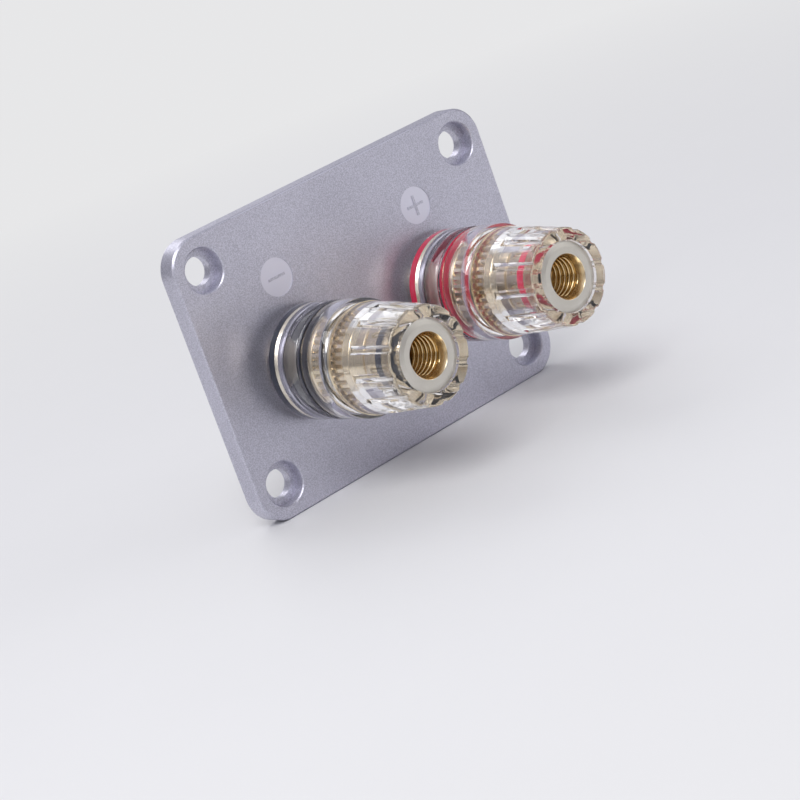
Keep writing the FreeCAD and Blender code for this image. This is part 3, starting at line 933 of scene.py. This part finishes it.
@dataclass
class GoldStud:
    """The stud: collar, front thread with its bores, rear thread and smooth end."""

    axis: PostAxis
    collar: float = 7.0
    front_crest: float = 3.75
    rear_crest: float = 4.0
    depth: float = 0.5
    pitch: float = 1.25
    pilot: float = 3.3
    wire_hole: float = 1.3
    wire_station: float = 14.4

    def outline(self) -> list[Corner]:
        """The half section.

        Returns:
            The points, each a radius and a station.
        """
        front = self.front_crest - self.depth
        rear = self.rear_crest - self.depth
        return [
            (0.0, -25.0), (self.pilot - 0.5, -25.0), (self.pilot, -24.5), (self.pilot, -19.0),
            (rear, -18.8), (rear, -4.5), (self.rear_crest - 0.05, -4.2),
            (self.rear_crest - 0.05, 5.2), (self.collar, 5.2), (self.collar, 12.3), (front, 12.3),
            (front, 25.0), (front - 0.5, 25.5), (2.5, 25.5), (2.0, 25.0), (2.0, 7.5), (0.0, 7.5)]

    def drilled(self, mesh: bpy.types.Mesh) -> bpy.types.Mesh:
        """Cuts the cross hole for bare wire.

        Args:
            mesh: the stud or its front thread, in place.

        Returns:
            The cut mesh.
        """
        work = bmesh.new()
        work.from_mesh(mesh)
        bmesh.ops.remove_doubles(work, verts=work.verts, dist=1e-7)
        bmesh.ops.recalc_face_normals(work, faces=work.faces)
        work.to_mesh(mesh)
        work.clear()
        reach = 3.0 * self.rear_crest * MM
        bmesh.ops.create_cone(work, cap_ends=True, segments=48, radius1=self.wire_hole * MM,
                              radius2=self.wire_hole * MM, depth=reach)
        drill = bpy.data.meshes.new("drill")
        work.to_mesh(drill)
        work.free()
        drill.transform(self.axis.matrix @ Matrix.Translation((0.0, 0.0, self.wire_station * MM))
                        @ Matrix.Rotation(math.pi / 2, 4, "Y"))
        holder = bpy.data.objects.new("holder", mesh)
        cutter = bpy.data.objects.new("cutter", drill)
        for piece in (holder, cutter):
            bpy.context.scene.collection.objects.link(piece)
        cut = holder.modifiers.new("cut", "BOOLEAN")
        cut.operation = "DIFFERENCE"
        cut.solver = "EXACT"
        cut.object = cutter
        graph = bpy.context.evaluated_depsgraph_get()
        made = bpy.data.meshes.new_from_object(holder.evaluated_get(graph), depsgraph=graph)
        for piece in (holder, cutter):
            bpy.data.objects.remove(piece)
        return made

    def build(self, gold: bpy.types.Material, collar: bpy.types.Material, threads: NodeTree) -> None:
        """Makes the stud, its two threads and its cross hole.

        Args:
            gold: the finish of the stud.
            collar: the finish of its collar.
            threads: the tree of the threads.
        """
        outline = [point for point in rounded(self.outline(), 0.1) if point[0] >= 0.0]
        mesh = self.drilled(self.axis.turned(outline, 128))
        stud = finish_mesh(self.axis.name("turned_stud"), mesh, "terminal")
        stud.data.materials.append(gold)
        stud.data.materials.append(collar)
        base = self.axis.centre
        for polygon in stud.data.polygons:
            spot = polygon.center - base
            if math.hypot(spot.x, spot.z) / MM > self.front_crest + 0.2:
                polygon.material_index = 1
        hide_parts(self.axis.name("stud"))
        log.info("%s built", stud.name)
        spans = (("front", self.front_crest, 12.6, 24.9), ("rear", self.rear_crest, -18.9, -9.0))
        for label, crest, low, high in spans:
            turns = (high - low) / self.pitch
            ridge = threads.make(bpy.data.meshes.new("seed"), {
                "Radius": (crest - self.depth - 0.05) * MM, "Pitch": self.pitch * MM, "Turns": turns,
                "Ridge": (self.depth + 0.05) * MM, "Start": low * MM,
                "Steps": int(turns * 48), "Finish": gold})
            ridge.transform(self.axis.matrix)
            if low < self.wire_station < high:
                ridge = self.drilled(ridge)
            piece = finish_mesh(self.axis.name(f"{label}_thread"), ridge, "terminal", 0.9)
            log.info("%s built", piece.name)


@dataclass
class BindingPost:
    """One post with all its pieces."""

    polarity: Polarity
    first_flute: float

    def build(self, nodes: dict[str, bpy.types.Object], clear: bpy.types.Material,
              knurls: NodeTree, threads: NodeTree) -> None:
        """Makes and dresses the post.

        Args:
            nodes: the solids by name.
            clear: the clear plastic.
            knurls: the tree of the knurled bands.
            threads: the tree of the threads.
        """
        axis = PostAxis(self.polarity)
        centre = axis.centre
        gold = GOLD.make(centre)
        # The darker gold with painted shade, for the sleeve's bore and inner thread.
        deep = SHADED_BORE_GOLD.make(centre)
        satin = SATIN_GOLD.make(centre)
        colour = (CRIMSON if self.polarity is Polarity.RED else INK).make()
        ClearBase(axis).build(clear)
        ClearShroud(axis, first_flute=self.first_flute).build(clear)
        GoldSleeve(axis).build(gold, deep, satin, knurls, threads)
        GoldStud(axis).build(gold, CHAMPAGNE.make(centre), threads)
        dressings = {
            "base_ring": colour, "clamp_ring": colour, "knob_ring": colour, "gold_band": gold,
            "spacer": NICKEL.make(centre), "bush": MATTE_BLACK.make(), "washer": gold,
            "spring_washer": ZINC.make(centre), "nut": gold}
        for piece, material in dressings.items():
            paint(nodes[axis.name(piece)], material)
        log.info("%s post dressed", self.polarity.value)


@dataclass
class Studio:
    """A pale floor, soft light and the photograph's camera."""

    floor_height: float = -0.028
    floor_colour: RGB = (0.80, 0.80, 0.81)
    far_colour: RGB = (0.80, 0.80, 0.81)
    air_low: RGB = (0.22, 0.22, 0.24)
    air_high: RGB = (0.58, 0.58, 0.62)
    backdrop: RGB = (0.86, 0.86, 0.87)
    floor_half: float = 6.0
    aim: tuple[float, float, float] = (0.0, -0.015, 0.0)
    camera_place: tuple[float, float, float] = (-0.2895696, -0.40753814, 0.10539925)
    camera_right: tuple[float, float, float] = (0.71634085, -0.61371538, -0.33197775)
    camera_up: tuple[float, float, float] = (0.41070411, -0.0137658, 0.91166476)
    lens: float = 120.168
    bounces: int = 24

    def build(self) -> None:
        """Sets the whole studio up, and lets light pass often enough through the clear plastic."""
        self.camera()
        self.floor()
        self.world()
        self.lamp("key lamp", (-0.45, -0.35, 0.7), 0.5, 4.0)
        self.lamp("fill lamp", (0.6, -0.6, 0.35), 0.6, 0.8)
        self.lamp("back lamp", (0.15, 0.6, 0.6), 0.45, 1.3)
        scene = bpy.context.scene
        scene.view_settings.view_transform = "Standard"
        scene.cycles.max_bounces = self.bounces
        scene.cycles.glossy_bounces = self.bounces
        scene.cycles.transmission_bounces = self.bounces
        log.info("studio set")

    def camera(self) -> None:
        """Puts the camera where the photograph was taken from."""
        data = bpy.data.cameras.new("camera")
        data.lens = self.lens
        data.sensor_width = 36.0
        data.clip_start = 0.01
        data.clip_end = 50.0
        camera = bpy.data.objects.new("camera", data)
        right = Vector(self.camera_right).normalized()
        back = right.cross(Vector(self.camera_up)).normalized()
        up = back.cross(right)
        turn = Matrix((right, up, back)).transposed().to_4x4()
        camera.matrix_world = Matrix.Translation(self.camera_place) @ turn
        bpy.context.scene.collection.objects.link(camera)
        bpy.context.scene.camera = camera

    def floor(self) -> None:
        """Lays the plain floor under the plate's lower edge."""
        half = self.floor_half
        mesh = bpy.data.meshes.new("floor")
        corners = [(-half, -half), (half, -half), (half, half), (-half, half)]
        mesh.from_pydata([(x, y, self.floor_height) for x, y in corners], [], [(0, 1, 2, 3)])
        floor = bpy.data.objects.new("floor", mesh)
        bpy.context.scene.collection.objects.link(floor)
        shader = Shader("pale floor")
        place = shader.place()
        grain = shader.noise(place, 40.0, 2.0)
        low = tuple(value * 0.985 for value in self.floor_colour)
        shader.link(shader.blend(grain, low, self.floor_colour), shader.surface.inputs["Base Color"])
        shader.set(Roughness=0.6)
        far = shader.node("ShaderNodeVectorMath", operation="LENGTH")
        shader.link(place, far.inputs[0])
        fade = shader.remap(far.outputs["Value"], 0.12, 0.5, 0.0, 1.0)
        plain = shader.node("ShaderNodeEmission")
        plain.inputs["Color"].default_value = (*self.far_colour, 1.0)
        mix = shader.node("ShaderNodeMixShader")
        shader.link(fade, mix.inputs[0])
        shader.link(shader.surface.outputs[0], mix.inputs[1])
        shader.link(plain.outputs[0], mix.inputs[2])
        shader.link(mix.outputs[0], shader.output.inputs["Surface"])
        mesh.materials.append(shader.material)

    def world(self) -> None:
        """Makes the air pale, and darker near the ground for what is lit by it."""
        world = bpy.data.worlds.new("studio air")
        world.use_nodes = True
        nodes, links = world.node_tree.nodes, world.node_tree.links
        nodes.clear()
        coordinates = nodes.new("ShaderNodeTexCoord")
        axes = nodes.new("ShaderNodeSeparateXYZ")
        links.new(coordinates.outputs["Generated"], axes.inputs[0])
        ramp = nodes.new("ShaderNodeValToRGB")
        ramp.color_ramp.elements[0].position = 0.45
        ramp.color_ramp.elements[0].color = (*self.air_low, 1.0)
        ramp.color_ramp.elements[1].position = 0.9
        ramp.color_ramp.elements[1].color = (*self.air_high, 1.0)
        height = nodes.new("ShaderNodeMapRange")
        height.inputs["From Min"].default_value = -1.0
        links.new(axes.outputs["Z"], height.inputs["Value"])
        links.new(height.outputs[0], ramp.inputs["Fac"])
        seen = nodes.new("ShaderNodeBackground")
        seen.inputs["Color"].default_value = (*self.backdrop, 1.0)
        light = nodes.new("ShaderNodeBackground")
        links.new(ramp.outputs["Color"], light.inputs["Color"])
        path = nodes.new("ShaderNodeLightPath")
        mix = nodes.new("ShaderNodeMixShader")
        links.new(path.outputs["Is Camera Ray"], mix.inputs[0])
        links.new(light.outputs[0], mix.inputs[1])
        links.new(seen.outputs[0], mix.inputs[2])
        output = nodes.new("ShaderNodeOutputWorld")
        links.new(mix.outputs[0], output.inputs["Surface"])
        bpy.context.scene.world = world

    def lamp(self, name: str, place: tuple[float, float, float], size: float, power: float) -> None:
        """Hangs a soft square lamp that looks at the posts.

        Args:
            name: the lamp's name.
            place: where it hangs, in metres.
            size: its side, in metres.
            power: its power, in watts.
        """
        data = bpy.data.lights.new(name, "AREA")
        data.shape = "SQUARE"
        data.size = size
        data.energy = power
        lamp = bpy.data.objects.new(name, data)
        target = Vector(self.aim)
        lamp.location = place
        lamp.rotation_euler = (target - Vector(place)).to_track_quat("-Z", "Y").to_euler()
        bpy.context.scene.collection.objects.link(lamp)


def main() -> None:
    """Builds the plate, both posts and the studio."""
    logging.basicConfig(level=logging.INFO, format="%(name)s: %(message)s")
    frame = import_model()
    nodes = frame["nodes"]
    Panel().dress(nodes)
    clear = ClearFinish().make()
    knurls, threads = knurl_tree(), thread_tree()
    for polarity, first_flute in ((Polarity.BLACK, 0.0), (Polarity.RED, 25.0)):
        BindingPost(polarity, first_flute).build(nodes, clear, knurls, threads)
    Studio().build()


if __name__ == "__main__":
    main()
